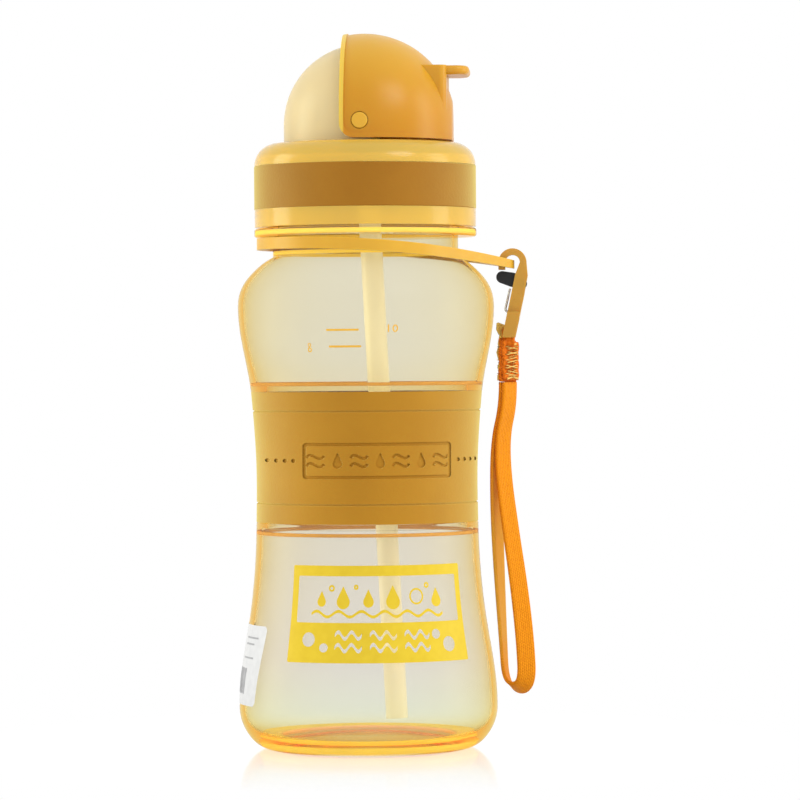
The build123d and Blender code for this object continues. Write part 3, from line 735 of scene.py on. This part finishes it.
def ribbon(name, points, wides, width, thick, material):
    """A flat woven band along points, wides giving the width direction at each."""
    rim = [(-0.5, -0.22), (-0.5, 0.22), (-0.47, 0.5), (-0.3, 0.42), (0.0, 0.40), (0.3, 0.42), (0.47, 0.5)]
    rim += [(-x, -y) for x, y in rim]
    mesh = bpy.data.meshes.new(name)
    verts = []
    for i, (point, wide) in enumerate(zip(points, wides)):
        ahead = points[min(i + 1, len(points) - 1)] - points[max(i - 1, 0)]
        ahead.normalize()
        flat = (wide - ahead * wide.dot(ahead)).normalized()
        up = ahead.cross(flat)
        verts += [point + flat * (x * width) + up * (y * thick) for x, y in rim]
    n = len(rim)
    faces = []
    for i in range(len(points) - 1):
        for j in range(n):
            k = (j + 1) % n
            faces.append((i * n + j, (i + 1) * n + j, (i + 1) * n + k, i * n + k))
    faces.append(tuple(range(n)))
    faces.append(tuple(reversed(range(len(verts) - n, len(verts)))))
    mesh.from_pydata(verts, [], faces)
    spots = mesh.uv_layers.new(name="weave")
    length = sum((b - a).length for a, b in zip(points, points[1:]))
    for loop in mesh.loops:
        ring, side = divmod(loop.vertex_index, n)
        spots.data[loop.index].uv = (length * ring / (len(points) - 1), rim[side][0] * width)
    mesh.validate()
    return new_object(name, mesh, material)


def build_strap():
    start = Vector((tack_x, 0, tack_foot))
    route = [start + across * (a * mm) - Vector((0, 0, b * mm)) for a, b in strap_route]
    line, _ = even_points(smooth_route("strap_line", route), 0.0008)
    wides = []
    for i, point in enumerate(line):
        share = i / (len(line) - 1)
        ahead = (line[min(i + 1, len(line) - 1)] - line[max(i - 1, 0)]).normalized()
        twist = radians(-18 * sin(pi * share) - 16 * sin(pi * share) ** 6)
        wides.append(Matrix.Rotation(twist, 3, ahead) @ level)
    strap = ribbon("wrist_strap", line, wides, strap_width, strap_thick, mats["webbing"])
    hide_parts("strap_loop")
    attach(strap, "strap")


def thread_tube(name, points, radius, material, sides=7):
    """A round thread along points."""
    verts = []
    for i, point in enumerate(points):
        ahead = (points[min(i + 1, len(points) - 1)] - points[max(i - 1, 0)]).normalized()
        side = ahead.orthogonal().normalized()
        other = ahead.cross(side)
        turns = [2 * pi * j / sides for j in range(sides)]
        verts += [point + side * (radius * cos(t)) + other * (radius * sin(t)) for t in turns]
    faces = []
    for i in range(len(points) - 1):
        for j in range(sides):
            k = (j + 1) % sides
            faces.append((i * sides + j, (i + 1) * sides + j, (i + 1) * sides + k, i * sides + k))
    mesh = bpy.data.meshes.new(name)
    mesh.from_pydata(verts, [], faces)
    return new_object(name, mesh, material)


def build_tack():
    """The sewn end: layers of webbing with a zigzag of thread through them, and the fold over the bar."""
    layers = []
    ply_thick = 0.00105
    stitch_r = 0.0003
    stitch_rows = 13
    # offset across (mm), look, reach above and below, width, waviness
    plies = [
        (-1.25, "webbing_pale", 0.0046, 0.0004, 0.0042, 0.00035),
        (-0.1, "webbing_red", 0.0006, 0.0, 0.0058, 0.0001),
        (1.0, "webbing_red", 0.0003, 0.0007, 0.0058, 0.0001),
    ]
    for shift, look, above, below, wide, sway in plies:
        high = Vector((tack_x, 0, tack_top + above)) + across * (shift * mm)
        low = Vector((tack_x, 0, tack_foot + below)) + across * (shift * mm)
        count = 16
        line = []
        wides = []
        for i in range(count + 1):
            wave = across * (sway * sin(0.9 * i + shift)) - level * (sway * sin(1.7 * i))
            line.append(high.lerp(low, i / count) + wave)
            lean = 0.2 * sin(0.8 * i + 2 * shift) * sway / 0.00035
            wides.append(Matrix.Rotation(lean, 3, "Z") @ level)
        layers.append(ribbon("sewn_layer", line, wides, wide, ply_thick, mats[look]))
    reach = 0.0013
    low = tack_top - 0.001
    fold = [Vector((bar_x - 0.0012, 0, low)), Vector((bar_x - 0.0013, 0, bar_z - 0.0009))]
    for i in range(13):
        a = pi - pi * i / 12
        fold.append(Vector((bar_x + reach * cos(a), 0, bar_z + reach * sin(a))))
    fold += [Vector((bar_x + 0.0013, 0, bar_z - 0.0009)), Vector((bar_x + 0.0012, 0, low))]
    sideways = Vector((0, 1, 0))
    red = mats["webbing_red"]
    layers.append(ribbon("bar_fold", fold, [sideways] * len(fold), 0.005, 0.0008, red))
    throat = [Vector((bar_x, 0, z)) for z in (low, (low + bar_z) / 2, bar_z - 0.0012)]
    layers.append(ribbon("fold_throat", throat, [sideways] * 3, 0.0049, 0.0024, red))
    for side in (-1, 1):
        for phase in (0, 1):
            points = []
            for i in range(stitch_rows + 1):
                z = tack_foot + 0.0009 + (tack_top - tack_foot - 0.0014) * i / stitch_rows
                lean = (1 if (i + phase) % 2 else -1) * (0.0019 + 0.0005 * sin(3.7 * i + phase))
                face = (side * 1.62 + (0.1 if i % 3 else 0.02)) * mm
                points.append(Vector((tack_x, 0, z)) + across * face + level * lean)
            layers.append(thread_tube("stitches", points, stitch_r, mats["thread"]))
    for piece in layers:
        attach(piece, "strap")
    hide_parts("strap_tack")


place_camera()
build_lights()
build_stage()
paint_nodes()
build_prints()
build_edge_glow()
build_scale()
build_label()
build_strap()
build_tack()
